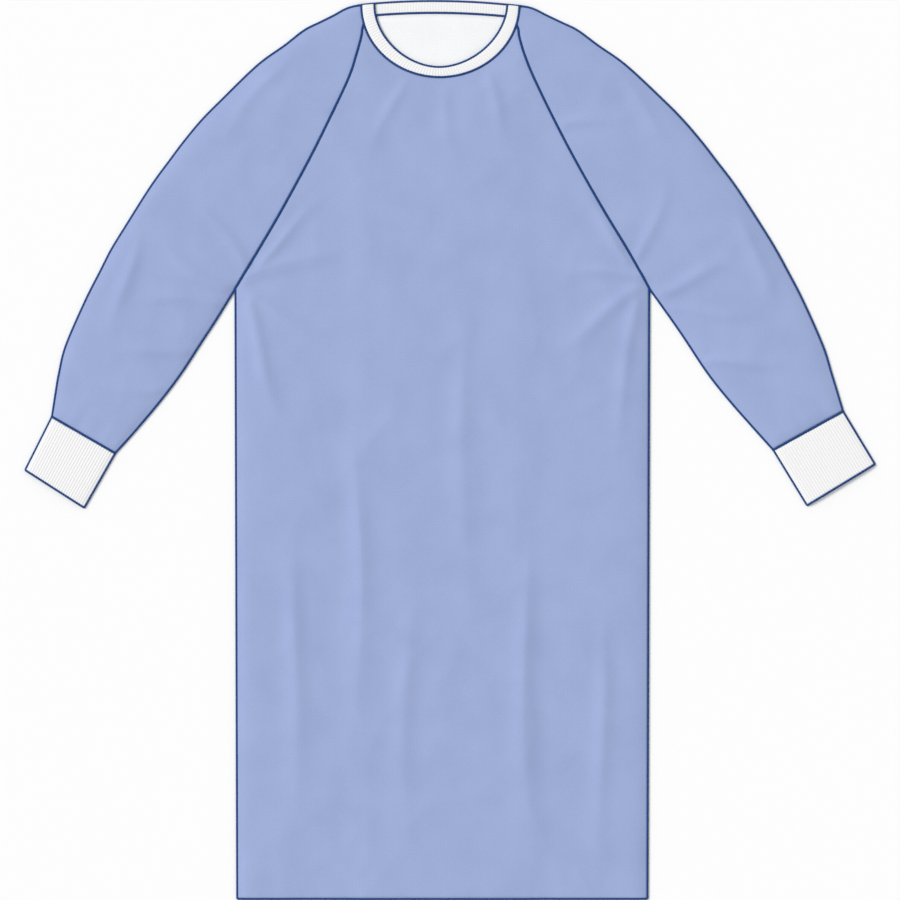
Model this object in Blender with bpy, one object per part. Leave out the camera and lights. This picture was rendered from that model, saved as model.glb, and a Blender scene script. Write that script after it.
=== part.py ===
"""A surgical gown laid flat on its back: raglan sleeves, overlapping back, rib neckband and rib cuffs.

Metres, +Z up. The gown lies on Z = 0 with its front upwards, its neck towards +Y and its hem towards -Y.
The origin is on the centre line of the body, halfway between the neck and the hem. Heights in the tables
are measured from the hem, and across sizes from the centre line.
"""

import math
from typing import NamedTuple

import bmesh
import bpy

# Whole garment
LENGTH = 1.274
ORIGIN_HEIGHT = LENGTH / 2
CLOTH = 0.0012
SEAM_GAP = 0.0003
LAYER = CLOTH + SEAM_GAP

# Pieces that meet a slanted or curved seam stand a little further back than the seam gap
SLEEVE_CLEARANCE = 1.3 * SEAM_GAP
NECKBAND_CLEARANCE = 1.2 * SEAM_GAP

# Body
SIDE_HALF_WIDTH = 0.2935
HEM_HALF_WIDTH = 0.2910
UNDERARM_HEIGHT = 0.867

# Front neckband
NECKBAND_WALL = 0.0018
NECKBAND_CROWN = 0.0004

# Back neck, a shallow arc, with its band above it
BACK_NECK_HEIGHT = 1.2575
BACK_NECK_CENTRE = -0.0110
BACK_NECK_BEND = 0.486
BACK_BAND_WIDTH = 0.0165

# The two back panels lap over each other: the outer one lies lowest
OUTER_LAP_EDGE = 0.1000
INNER_LAP_EDGE = -0.1040
STEP_WIDTH = 0.0060
STEP_CLEARANCE = 0.0006

# Cuffs
CUFF_WALL = 0.0015
CUFF_HOLLOW = 0.0006
CUFF_RINGS = 6
CUFF_SIDE_STEPS = 4
CUFF_FACE_STEPS = 8

# Where the sleeves' top seams start, outside the neck points, and where the back band ends inside them
SLEEVE_TIP = 0.0012
BACK_BAND_INSET = 0.0020

# The part of a facet by which a back neck seam starts clear of its raglan seam
BACK_NECK_START = 0.04

# Facets, the samples along a smooth edge, and the angle past which two facets look like an edge
EDGE_SAMPLES = 400
SHARP_ANGLE = math.radians(30)
WELD = 0.00001
RAGLAN_FACETS = 26
UNDERARM_FACETS = 16
NECK_FACETS = 48
BACK_NECK_FACETS = 16
BAND_ACROSS = 8

# The sleeve meets the neckband along this many facets of the neck seam, counted from the neck point
SLEEVE_NECK_FACETS = 4


class EdgePair(NamedTuple):
    """Where an edge of the left half and of the right half cross one height above the hem."""

    height: float
    left: float
    right: float


class Corner(NamedTuple):
    """A corner of a piece in plan, across from the centre line and up from the hem."""

    across: float
    height: float


class Scoop(NamedTuple):
    """An edge that hangs between two points, half an ellipse that leans to the left as it drops."""

    left: Corner
    right: Corner
    drop: float
    lean: float
    power: float


class CuffPlan(NamedTuple):
    """The four corners of a flattened cuff."""

    seam_outer: Corner
    seam_inner: Corner
    end_inner: Corner
    end_outer: Corner


# The front neck seam, between the neck points, and the opening edge of the front neckband
NECK_SEAM = Scoop(Corner(-0.1148, 1.2687), Corner(0.1092, 1.2671), drop=0.1017, lean=0.015, power=2.0)
OPENING = Scoop(Corner(-0.0967, 1.2701), Corner(0.0925, 1.2686), drop=0.0893, lean=0.033, power=1.865)

# The raglan seams, from just below the neck seam down to the underarms
RAGLAN = (
    EdgePair(height=1.2340, left=-0.1138, right=0.1080),
    EdgePair(height=1.2240, left=-0.1150, right=0.1089),
    EdgePair(height=1.1970, left=-0.1224, right=0.1168),
    EdgePair(height=1.1644, left=-0.1333, right=0.1301),
    EdgePair(height=1.1048, left=-0.1613, right=0.1590),
    EdgePair(height=1.0480, left=-0.1897, right=0.1887),
    EdgePair(height=0.9770, left=-0.2282, right=0.2289),
    EdgePair(height=0.9202, left=-0.2614, right=0.2633),
    EdgePair(height=UNDERARM_HEIGHT, left=-SIDE_HALF_WIDTH, right=SIDE_HALF_WIDTH),
)

# The underarm seams of the sleeves, from the underarms towards the cuffs
UNDERARM = (
    EdgePair(height=UNDERARM_HEIGHT, left=-SIDE_HALF_WIDTH, right=SIDE_HALF_WIDTH),
    EdgePair(height=0.8208, left=-0.3218, right=0.3265),
    EdgePair(height=0.7924, left=-0.3405, right=0.3460),
    EdgePair(height=0.7455, left=-0.3710, right=0.3772),
    EdgePair(height=0.7072, left=-0.3999, right=0.4077),
    EdgePair(height=0.6646, left=-0.4357, right=0.4452),
)

# The curved seams along the tops of the sleeves, from the neck points towards the cuffs
SLEEVE_TOP = (
    EdgePair(height=1.2638, left=-0.1352, right=0.1274),
    EdgePair(height=1.2539, left=-0.1534, right=0.1475),
    EdgePair(height=1.2439, left=-0.1735, right=0.1684),
    EdgePair(height=1.2326, left=-0.1960, right=0.1917),
    EdgePair(height=1.2113, left=-0.2234, right=0.2205),
    EdgePair(height=1.1829, left=-0.2624, right=0.2604),
    EdgePair(height=1.1332, left=-0.3137, right=0.3138),
    EdgePair(height=1.1048, left=-0.3417, right=0.3418),
    EdgePair(height=1.0749, left=-0.3665, right=0.3674),
    EdgePair(height=1.0480, left=-0.3867, right=0.3882),
    EdgePair(height=1.0096, left=-0.4146, right=0.4172),
    EdgePair(height=0.9486, left=-0.4531, right=0.4568),
    EdgePair(height=0.9202, left=-0.4704, right=0.4740),
    EdgePair(height=0.8918, left=-0.4848, right=0.4895),
    EdgePair(height=0.8492, left=-0.5064, right=0.5116),
    EdgePair(height=0.7850, left=-0.5343, right=0.5400),
    EdgePair(height=0.7455, left=-0.5441, right=0.5524),
    EdgePair(height=0.7214, left=-0.5483, right=0.5598),
)

CUFFS = {
    "left": CuffPlan(
        seam_outer=Corner(-0.5540, 0.6840),
        seam_inner=Corner(-0.4646, 0.6325),
        end_inner=Corner(-0.5085, 0.5552),
        end_outer=Corner(-0.5919, 0.6085),
    ),
    "right": CuffPlan(
        seam_outer=Corner(0.5686, 0.6917),
        seam_inner=Corner(0.4700, 0.6372),
        end_inner=Corner(0.5180, 0.5585),
        end_outer=Corner(0.6138, 0.6167),
    ),
}


class Finish(NamedTuple):
    """Colour and surface of one material."""

    name: str
    colour: tuple
    roughness: float
    metallic: float = 0.0


CEIL_BLUE_CLOTH = Finish("ceil blue nonwoven", (0.342, 0.418, 0.672, 1.0), 0.80)
WHITE_RIB_KNIT = Finish("white rib knit", (0.880, 0.880, 0.870, 1.0), 0.90)


def clear_scene():
    """Empties the scene, so that the gown is all it holds."""
    for obj in list(bpy.data.objects):
        bpy.data.objects.remove(obj, do_unlink=True)


def new_material(finish):
    """A Principled material with the colour, roughness and metallic value of a finish."""
    material = bpy.data.materials.new(finish.name)
    material.use_nodes = True
    shader = material.node_tree.nodes["Principled BSDF"]
    shader.inputs["Base Color"].default_value = finish.colour
    shader.inputs["Roughness"].default_value = finish.roughness
    shader.inputs["Metallic"].default_value = finish.metallic
    material.diffuse_color = finish.colour
    return material


def add_object(name, builder, finish):
    """Turns a closed bmesh into a named object of one finish, with its faces pointing out."""
    bmesh.ops.recalc_face_normals(builder, faces=builder.faces)
    if builder.calc_volume(signed=True) < 0:
        bmesh.ops.reverse_faces(builder, faces=builder.faces)
    mesh = bpy.data.meshes.new(name)
    builder.to_mesh(mesh)
    builder.free()
    mesh.shade_smooth()
    mesh.set_sharp_from_angle(angle=SHARP_ANGLE)
    mesh.materials.append(new_material(finish))
    obj = bpy.data.objects.new(name, mesh)
    bpy.context.scene.collection.objects.link(obj)
    return obj


def side_of(pair, side):
    """The corner that a row of an edge table gives on one side."""
    return Corner(pair.left if side == "left" else pair.right, pair.height)


def between(start, end, part):
    """The corner that lies a part of the way from one corner to another."""
    return Corner(
        start.across + part * (end.across - start.across),
        start.height + part * (end.height - start.height),
    )


def spline_point(points, place):
    """A point on the smooth curve through a row of points; place counts them from 0."""
    last = len(points) - 1
    index = min(int(place), last - 1)
    part = place - index
    before = points[max(index - 1, 0)]
    after = points[min(index + 2, last)]
    out = []
    for a, b, c, d in zip(before, points[index], points[index + 1], after):
        bend = 2 * a - 5 * b + 4 * c - d
        twist = 3 * (b - c) + d - a
        out.append(b + part * (c - a + part * (bend + part * twist)) / 2)
    return Corner(*out)


def smooth_edge(points, steps):
    """Evenly spaced corners along the smooth curve through a row of points, both ends included."""
    last = len(points) - 1
    samples = [spline_point(points, last * i / EDGE_SAMPLES) for i in range(EDGE_SAMPLES + 1)]
    reach = [0.0]
    for a, b in zip(samples, samples[1:]):
        reach.append(reach[-1] + math.dist(a, b))
    out = []
    index = 0
    for i in range(steps + 1):
        wanted = reach[-1] * i / steps
        while index < len(samples) - 2 and reach[index + 1] < wanted:
            index += 1
        part = (wanted - reach[index]) / (reach[index + 1] - reach[index])
        out.append(between(samples[index], samples[index + 1], part))
    return out


def scooped_edge(scoop):
    """The corners of a scooped edge, from its left end to its right one."""
    edge = []
    for i in range(NECK_FACETS + 1):
        turn = math.pi * i / NECK_FACETS
        cosine = math.cos(turn)
        width = math.copysign(abs(cosine) ** (2 / scoop.power), cosine)
        depth = scoop.drop * max(math.sin(turn), 0.0) ** (2 / scoop.power)
        level = between(scoop.left, scoop.right, (1 - width) / 2)
        edge.append(Corner(level.across - scoop.lean * depth, level.height - depth))
    return edge


def neck_from(side):
    """The corners of the front neck seam, from the neck point of one side to the other one."""
    seam = scooped_edge(NECK_SEAM)
    return seam if side == "left" else seam[::-1]


def raglan_edge(side):
    """The raglan seam of one side, from the neck seam to the underarm."""
    rows = [side_of(pair, side) for pair in RAGLAN]
    return smooth_edge([neck_from(side)[SLEEVE_NECK_FACETS]] + rows, RAGLAN_FACETS)


def back_neck_height(across):
    """Height of the back neck seam, a shallow arc that is highest near the middle of the neck."""
    return BACK_NECK_HEIGHT - BACK_NECK_BEND * (across - BACK_NECK_CENTRE) ** 2


def step(across, edge, direction):
    """1 on the lapped side of an edge and 0 beyond it, with a straight slope between."""
    beyond = (across - edge) * direction - STEP_CLEARANCE
    return min(max(1 - beyond / STEP_WIDTH, 0.0), 1.0)


def ground(_across):
    """Underside of what lies on the table."""
    return 0.0


def one_layer_up(_across):
    """Underside of what lies on a single layer of cloth."""
    return LAYER


def inner_back_base(across):
    """Underside of the inner back panel, one layer up where it lies on the outer one."""
    return LAYER * step(across, OUTER_LAP_EDGE, 1)


def front_base(across):
    """Underside of the front, one layer above whichever back panels lie under it."""
    return LAYER + inner_back_base(across) * step(across, INNER_LAP_EDGE, -1)


def grid_over(rows):
    """A bmesh grid whose vertices lie on rows of points, with its middle share stored on each vertex."""
    last_row = len(rows) - 1
    last_place = len(rows[0]) - 1
    builder = bmesh.new()
    bmesh.ops.create_grid(builder, x_segments=last_place, y_segments=last_row, size=0.5)
    middle = builder.verts.layers.float.new("middle")
    for vert in builder.verts:
        place = round((vert.co.x + 0.5) * last_place)
        row = round((vert.co.y + 0.5) * last_row)
        vert[middle] = 4 * place * (last_place - place) / last_place**2
        vert.co = rows[row][place]
    return builder


def wall_over(rows, wall, crown=0.0):
    """A closed wall of cloth on top of rows of points; crown lifts the middle of each row."""
    builder = grid_over(rows)
    middle = builder.verts.layers.float["middle"]
    underside = list(builder.faces)
    raised = bmesh.ops.extrude_face_region(builder, geom=underside, use_keep_orig=True)
    for item in raised["geom"]:
        if isinstance(item, bmesh.types.BMVert):
            item.co.z += wall + crown * item[middle]
    return builder


def placed(corner, up):
    """The point above a corner of the plan, in the gown's frame."""
    return (corner.across, corner.height - ORIGIN_HEIGHT, up)


def body_panel(name, top_edge, base):
    """A panel of the body, whose columns of cloth hang from its top edge to the hem."""
    taper = HEM_HALF_WIDTH / SIDE_HALF_WIDTH
    hem = [placed(Corner(c.across * taper, 0.0), base(c.across)) for c in top_edge]
    top = [placed(c, base(c.across)) for c in top_edge]
    return add_object(name, wall_over([hem, top], CLOTH), CEIL_BLUE_CLOTH)


def front_top_edge():
    """The top edge of the front: a raglan seam on each side and the scooped neck between them."""
    past = SLEEVE_NECK_FACETS + 1
    return raglan_edge("left")[::-1] + neck_from("left")[past:-past] + raglan_edge("right")


def back_top_edge(side, lap_edge):
    """The top edge of a back panel: its raglan seam, then the back neck as far as its lap edge."""
    raglan = raglan_edge(side)
    start = raglan[0].across
    stations = []
    for i in range(BACK_NECK_FACETS + 1):
        part = (i + BACK_NECK_START) / (BACK_NECK_FACETS + BACK_NECK_START)
        stations.append(start + (lap_edge - start) * part)
    stations += [x for x in step_stations() if min(stations) < x < max(stations)]
    neck = [Corner(across, back_neck_height(across) - SEAM_GAP) for across in stations]
    return sorted(raglan + neck)


def step_stations():
    """Where the slope beside the outer lap edge starts and ends."""
    start = OUTER_LAP_EDGE + STEP_CLEARANCE
    return [start, start + STEP_WIDTH]


def sleeve_inner_edge(side):
    """The neck edge, raglan seam and underarm seam of a sleeve, from the neck point to the cuff."""
    neck = neck_from(side)[:SLEEVE_NECK_FACETS]
    under = [side_of(pair, side) for pair in UNDERARM] + [CUFFS[side].seam_inner]
    return neck + raglan_edge(side) + smooth_edge(under, UNDERARM_FACETS)[1:]


def sleeve_half(side, layer, base):
    """Half a sleeve: it fills from the curved top seam to the raglan and underarm seams."""
    outward = -1 if side == "left" else 1
    clearance = outward * SLEEVE_CLEARANCE
    inner = [Corner(c.across + clearance, c.height) for c in sleeve_inner_edge(side)]
    tip = Corner(inner[0].across + outward * SLEEVE_TIP, inner[0].height)
    top = [tip] + [side_of(pair, side) for pair in SLEEVE_TOP] + [CUFFS[side].seam_outer]
    outer = smooth_edge(top, len(inner) - 1)
    rows = [[placed(c, base(c.across)) for c in pair] for pair in zip(inner, outer)]
    return add_object(f"sleeve_{side}_{layer}", wall_over(rows, CLOTH), CEIL_BLUE_CLOTH)


def neckband_front():
    """The front stretch of the rib neckband, between the neck seam and the opening edge."""
    rows = []
    for seam, edge in zip(scooped_edge(NECK_SEAM), scooped_edge(OPENING)):
        start = between(seam, edge, NECKBAND_CLEARANCE / math.dist(seam, edge))
        row = [between(start, edge, j / BAND_ACROSS) for j in range(BAND_ACROSS + 1)]
        rows.append([placed(c, front_base(c.across)) for c in row])
    builder = wall_over(rows, NECKBAND_WALL, NECKBAND_CROWN)
    return add_object("neckband_front", builder, WHITE_RIB_KNIT)


def neckband_back(layer, start, end, base):
    """A back stretch of the rib neckband, above the neck seam of one back panel."""
    stations = [start + (end - start) * i / BACK_NECK_FACETS for i in range(BACK_NECK_FACETS + 1)]
    stations = sorted(stations + [x for x in step_stations() if start < x < end])
    low = [Corner(across, back_neck_height(across)) for across in stations]
    high = [Corner(c.across, c.height + BACK_BAND_WIDTH) for c in low]
    rows = [[placed(c, base(c.across)) for c in row] for row in (low, high)]
    return add_object(f"neckband_back_{layer}", wall_over(rows, CLOTH), WHITE_RIB_KNIT)


def flat_ring(half_width, half_height):
    """Offsets, across and up, round a flattened tube: two flat faces and two half-round sides."""
    straight = half_width - half_height
    ring = []
    for sign in (1, -1):
        for i in range(CUFF_FACE_STEPS):
            ring.append((sign * straight * (1 - 2 * i / CUFF_FACE_STEPS), sign * half_height))
        for i in range(CUFF_SIDE_STEPS):
            turn = math.pi / 2 + math.pi * i / CUFF_SIDE_STEPS
            across = half_height * math.cos(turn) - straight
            ring.append((sign * across, sign * half_height * math.sin(turn)))
    return ring + ring[:1]


def cuff_ring(plan, part, inset):
    """The points of one ring of a cuff, a part of the way from the sleeve to the hand."""
    outer = between(plan.seam_outer, plan.end_outer, part)
    inner = between(plan.seam_inner, plan.end_inner, part)
    middle = between(outer, inner, 0.5)
    half_width = math.dist(outer, inner) / 2
    half_height = CUFF_WALL + CUFF_HOLLOW / 2
    ring = flat_ring(half_width - inset, half_height - inset)
    return [placed(between(middle, outer, x / half_width), half_height + up) for x, up in ring]


def cuff(side):
    """A knitted cuff: a flattened tube, open at the sleeve and at the hand."""
    plan = CUFFS[side]
    first = SEAM_GAP / math.dist(plan.seam_outer, plan.end_outer)
    parts = [first + (1 - first) * i / CUFF_RINGS for i in range(CUFF_RINGS + 1)]
    outside = [cuff_ring(plan, part, 0.0) for part in parts]
    inside = [cuff_ring(plan, part, CUFF_WALL) for part in reversed(parts)]
    builder = grid_over(outside + inside + outside[:1])
    bmesh.ops.remove_doubles(builder, verts=builder.verts, dist=WELD)
    return add_object(f"cuff_{side}", builder, WHITE_RIB_KNIT)


def main():
    """Builds every piece of the gown in its place."""
    clear_scene()
    body_panel("back_panel_outer", back_top_edge("left", OUTER_LAP_EDGE), ground)
    body_panel("back_panel_inner", back_top_edge("right", INNER_LAP_EDGE), inner_back_base)
    body_panel("front_panel", front_top_edge(), front_base)
    for side in ("left", "right"):
        sleeve_half(side, "back", ground)
        sleeve_half(side, "front", one_layer_up)
        cuff(side)
    left_end = NECK_SEAM.left.across + BACK_BAND_INSET
    right_end = NECK_SEAM.right.across - BACK_BAND_INSET
    neckband_back("outer", left_end, OUTER_LAP_EDGE, ground)
    neckband_back("inner", INNER_LAP_EDGE, right_end, inner_back_base)
    neckband_front()


main()
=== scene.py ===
"""The looks of a surgical gown that lies flat on its back on a pale floor.

Metres, +Z up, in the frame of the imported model. The neck is towards +Y and the hem towards -Y, and the
origin is on the centre line halfway between them. In the pattern a height is measured from the hem.
"""

import logging
import math
from collections.abc import Callable, Sequence
from dataclasses import dataclass
from enum import Enum

import bmesh
import bpy
import numpy as np
from mathutils import Matrix, Vector, noise


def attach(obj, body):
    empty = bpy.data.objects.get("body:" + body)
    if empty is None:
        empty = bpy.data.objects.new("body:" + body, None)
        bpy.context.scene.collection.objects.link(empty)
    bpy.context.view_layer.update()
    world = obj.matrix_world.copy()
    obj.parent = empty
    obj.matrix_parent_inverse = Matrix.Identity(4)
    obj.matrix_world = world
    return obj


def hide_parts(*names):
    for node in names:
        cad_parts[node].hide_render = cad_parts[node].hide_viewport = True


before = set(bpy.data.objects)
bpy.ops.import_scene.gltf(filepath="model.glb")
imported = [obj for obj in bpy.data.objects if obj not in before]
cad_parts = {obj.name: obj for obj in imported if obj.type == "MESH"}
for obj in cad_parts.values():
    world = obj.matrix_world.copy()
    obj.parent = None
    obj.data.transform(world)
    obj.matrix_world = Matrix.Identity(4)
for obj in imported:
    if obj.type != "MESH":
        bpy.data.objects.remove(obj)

Array = np.ndarray
Corner = tuple[float, float]
EdgeRow = tuple[float, float, float]
# Turns rows of spots or of shares into heights, points or texture coordinates.
Surface = Callable[[Array], Array]

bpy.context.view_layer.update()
LOG = logging.getLogger("gown")
# The thickness of a wall of cloth, about twice the real one, so that its edges show.
WALL = 0.0008
# Real ribs are about 2 mm apart, which is too fine to show.
RIB_PITCH = 0.0040
FACETS_PER_RIB = 6


class Side(Enum):
    """A half of the gown, as the picture shows it."""

    LEFT = "left"
    RIGHT = "right"

    @property
    def outward(self) -> int:
        """The direction along X that leads away from the centre line."""
        return -1 if self is Side.LEFT else 1


class Stitch(Enum):
    """How a seam is sewn."""

    FLATLOCK = "threads that cross a butted seam"
    OVERCAST = "a thread wound round an edge"


class Layer(Enum):
    """What a seam holds, from the floor upwards, and how far its thread's middle rises above its path."""

    UNDERSIDE = "the outside of the back", -0.00002
    BACK_EDGE = "a free edge of the outer back panel", 0.0002
    LAP_EDGE = "the lap edge of the inner back panel", 0.0002
    LAP_HEM = "the hem of the inner back panel", 0.0002
    INSIDE = "the inside of the back", 0.0006
    CLOSED = "both layers, at the outline", 0.0008
    CUFF_BACK = "the lower edge of a cuff's end", 0.0002
    CUFF_FACE = "the upper edge of a cuff's end", 0.0010
    BACK_BAND = "the free edge of the outer back neckband", 0.0002
    LAP_BAND = "the free edge of the inner back neckband", 0.0004
    HEM = "the hem of the front", 0.0006
    RAGLAN = "the face of the front and of a sleeve", 0.0006
    CUFF = "the face of a sleeve and of its cuff", 0.0006
    NECK = "the front and the sleeves, at the neckband", 0.0006
    FRONT_BAND = "the free edge of the front neckband", 0.0009

    @property
    def rise(self) -> float:
        """How far the middle of the thread rises, as the thickness that it holds asks."""
        return self.value[1]

    @property
    def stitch(self) -> Stitch:
        """How the seams of this layer are sewn."""
        butted = self in (Layer.UNDERSIDE, Layer.INSIDE, Layer.RAGLAN, Layer.CUFF, Layer.NECK)
        return Stitch.FLATLOCK if butted else Stitch.OVERCAST

    @property
    def shapes_face(self) -> bool:
        """Whether such a seam draws the upper layer of cloth down or puckers it."""
        return self in (Layer.CLOSED, Layer.HEM, Layer.RAGLAN, Layer.CUFF, Layer.NECK)


def ease(value: Array) -> Array:
    """A smooth step from 0 to 1 for values that run from 0 to 1."""
    share = np.clip(value, 0.0, 1.0)
    return share * share * (3 - 2 * share)


def bell(gap: Array, reach: float | Array) -> Array:
    """A soft bump: 1 where the gap is nothing, and gone a few reaches away."""
    return np.exp(-((gap / reach) ** 2))


def signed_power(values: Array, power: float) -> Array:
    """Values raised to a power, each with its own sign."""
    return np.sign(values) * np.abs(values) ** power


def length_of(line: Array) -> float:
    """The length of a polyline."""
    return float(np.linalg.norm(np.diff(line, axis=0), axis=1).sum())


def along(line: Array, shares: Array) -> Array:
    """Points at shares of a line's samples, from 0 at its start to 1 at its end."""
    index = shares * (len(line) - 1)
    return np.stack([np.interp(index, np.arange(len(line)), column) for column in line.T], axis=1)


def resample(line: Array, spacing: float) -> Array:
    """Samples a polyline again at even distances.

    Args:
        line: The polyline's points, one row each.
        spacing: The distance wanted between samples.

    Returns:
        The samples, one row each, both ends included.
    """
    reach = np.concatenate([[0.0], np.cumsum(np.linalg.norm(np.diff(line, axis=0), axis=1))])
    count = max(2, round(reach[-1] / spacing) + 1)
    wanted = np.linspace(0.0, reach[-1], count)
    return np.stack([np.interp(wanted, reach, column) for column in line.T], axis=1)


def smooth_curve(points: Sequence[Corner], spacing: float, steps: int = 40) -> Array:
    """Runs a smooth curve through points, a cubic between each two, and samples it evenly.

    Args:
        points: The points that the curve passes through, in order.
        spacing: The distance wanted between samples.
        steps: How finely each cubic is drawn first.

    Returns:
        The samples, one row each, both ends included.
    """
    knots = np.array([points[0], *points, points[-1]], float)
    part = np.linspace(0.0, 1.0, steps, endpoint=False)[:, None]
    stretches = []
    for a, b, c, d in zip(knots, knots[1:], knots[2:], knots[3:]):
        bend = 2 * a - 5 * b + 4 * c - d
        twist = 3 * (b - c) + d - a
        stretches.append(b + part * (c - a + part * (bend + part * twist)) / 2)
    return resample(np.vstack([*stretches, knots[-1:]]), spacing)


@dataclass(frozen=True)
class CuffPlan:
    """The four corners of a flattened cuff, each across from the centre line and up from the hem."""

    seam_outer: Corner
    seam_inner: Corner
    end_inner: Corner
    end_outer: Corner


@dataclass(frozen=True)
class Scoop:
    """An edge that hangs between two points, half an ellipse that leans to the left as it drops."""

    left: Corner
    right: Corner
    drop: float
    lean: float
    power: float = 2.0

    def turns(self, spacing: float) -> Array:
        """Turns along the edge, from 0 at its left end to pi at its right one, a spacing apart."""
        girth = math.pi * (math.dist(self.left, self.right) / 2 + self.drop) / 2
        return np.linspace(0.0, math.pi, round(girth / spacing) + 1)

    def points(self, turns: Array) -> Array:
        """Places turns on the edge.

        Args:
            turns: The turns, from 0 at the left end to pi at the right one.

        Returns:
            The points, one row each.
        """
        width = signed_power(np.cos(turns), 2 / self.power)
        depth = self.drop * np.clip(np.sin(turns), 0.0, None) ** (2 / self.power)
        level = np.outer((1 + width) / 2, self.left) + np.outer((1 - width) / 2, self.right)
        return level - np.stack([self.lean * depth, depth], axis=1)


@dataclass(frozen=True)
class Pattern:
    """The gown's outlines as it lies, read from the drawing at 1.42 mm a pixel.

    A row of an edge is its height above the hem, and how far across it is on the left and the right half.
    """

    length: float = 1.274
    side_half_width: float = 0.2935
    hem_half_width: float = 0.2910
    underarm_height: float = 0.867
    neck: Scoop = Scoop((-0.1148, 1.2687), (0.1092, 1.2671), drop=0.1017, lean=0.015)
    opening: Scoop = Scoop((-0.0967, 1.2701), (0.0925, 1.2686), drop=0.0893, lean=0.033, power=1.865)
    raglan_start: float = math.radians(15)
    back_neck_height: float = 1.2575
    back_neck_centre: float = -0.0110
    back_neck_bend: float = 0.486
    back_band_width: float = 0.0165
    outer_lap_edge: float = 0.1000
    inner_lap_edge: float = -0.1040
    left_band_end: float = -0.1128
    right_band_end: float = 0.1072
    spacing: float = 0.005
    front_column: float = 0.008
    back_column: float = 0.010
    back_neck_columns: int = 34
    clear_turn: float = 0.01
    clear_gap: float = 0.0005
    raglan: tuple[EdgeRow, ...] = (
        (1.2340, -0.1138, 0.1080),
        (1.2240, -0.1150, 0.1089),
        (1.1970, -0.1224, 0.1168),
        (1.1644, -0.1333, 0.1301),
        (1.1048, -0.1613, 0.1590),
        (1.0480, -0.1897, 0.1887),
        (0.9770, -0.2282, 0.2289),
        (0.9202, -0.2614, 0.2633),
        (0.8670, -0.2935, 0.2935),
    )
    underarm: tuple[EdgeRow, ...] = (
        (0.8670, -0.2935, 0.2935),
        (0.8208, -0.3218, 0.3265),
        (0.7924, -0.3405, 0.3460),
        (0.7455, -0.3710, 0.3772),
        (0.7072, -0.3999, 0.4077),
        (0.6646, -0.4357, 0.4452),
    )
    sleeve_top: tuple[EdgeRow, ...] = (
        (1.2638, -0.1352, 0.1274),
        (1.2539, -0.1534, 0.1475),
        (1.2439, -0.1735, 0.1684),
        (1.2326, -0.1960, 0.1917),
        (1.2113, -0.2234, 0.2205),
        (1.1829, -0.2624, 0.2604),
        (1.1332, -0.3137, 0.3138),
        (1.1048, -0.3417, 0.3418),
        (1.0749, -0.3665, 0.3674),
        (1.0480, -0.3867, 0.3882),
        (1.0096, -0.4146, 0.4172),
        (0.9486, -0.4531, 0.4568),
        (0.9202, -0.4704, 0.4740),
        (0.8918, -0.4848, 0.4895),
        (0.8492, -0.5064, 0.5116),
        (0.7850, -0.5343, 0.5400),
        (0.7455, -0.5441, 0.5524),
        (0.7214, -0.5483, 0.5598),
    )
    left_cuff: CuffPlan = CuffPlan(
        seam_outer=(-0.5540, 0.6840),
        seam_inner=(-0.4646, 0.6325),
        end_inner=(-0.5085, 0.5552),
        end_outer=(-0.5919, 0.6085),
    )
    right_cuff: CuffPlan = CuffPlan(
        seam_outer=(0.5686, 0.6917),
        seam_inner=(0.4700, 0.6372),
        end_inner=(0.5180, 0.5585),
        end_outer=(0.6138, 0.6167),
    )

    @property
    def taper(self) -> float:
        """How much narrower the body is at the hem than at the underarms."""
        return self.hem_half_width / self.side_half_width

    def cuff(self, side: Side) -> CuffPlan:
        """The plan of one side's cuff."""
        return self.left_cuff if side is Side.LEFT else self.right_cuff

    def to_frame(self, plan: Array) -> Array:
        """Moves points measured from the hem into the gown's frame."""
        return np.asarray(plan, float) - np.array([0.0, self.length / 2])

    def back_neck_seam(self, across: Array) -> Array:
        """Points of the back neck seam, a shallow arc, at places across."""
        height = self.back_neck_height - self.back_neck_bend * (across - self.back_neck_centre) ** 2
        return np.stack([across, height], axis=1)

    def back_band(self, panel: Side, count: int) -> tuple[Array, Array]:
        """Finds the edges of the neckband on one back panel.

        Args:
            panel: The side on which the panel meets its sleeve.
            count: How many points each edge gets.

        Returns:
            The seam and the free edge, one row for each point, from left to right.
        """
        outer = panel is Side.LEFT
        start = self.left_band_end if outer else self.inner_lap_edge
        end = self.outer_lap_edge if outer else self.right_band_end
        seam = self.back_neck_seam(np.linspace(start, end, count))
        return seam, seam + np.array([0.0, self.back_band_width])

    def lap_edge(self, across: float) -> Array:
        """The two ends of a back panel's free edge, at the back neck and at the hem."""
        return np.vstack([self.back_neck_seam(np.array([across])), [across * self.taper, 0.0]])

    def hem_edge(self, left: float, right: float) -> Array:
        """The two ends of a stretch of the hem, from places across the body at the underarms."""
        return np.array([[left * self.taper, 0.0], [right * self.taper, 0.0]])

    def side_edge(self, side: Side) -> Array:
        """The two ends of one side seam, at the underarm and at the hem."""
        across = side.outward * np.array([self.side_half_width, self.hem_half_width])
        return np.stack([across, [self.underarm_height, 0.0]], axis=1)

    def sleeve_neck_edge(self, side: Side, count: int = 6) -> Array:
        """Points where a sleeve meets the neckband, from the neck point to the raglan seam."""
        turns = np.linspace(0.0, self.raglan_start, count)
        return self.neck.points(turns if side is Side.LEFT else math.pi - turns)

    def curve(
        self,
        side: Side,
        rows: tuple[EdgeRow, ...],
        before: Sequence[Corner] = (),
        after: Sequence[Corner] = (),
    ) -> Array:
        """Points of a smooth edge through one side of some rows, and points before and after them."""
        across = 1 if side is Side.LEFT else 2
        return smooth_curve([*before, *((row[across], row[0]) for row in rows), *after], self.spacing)

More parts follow.
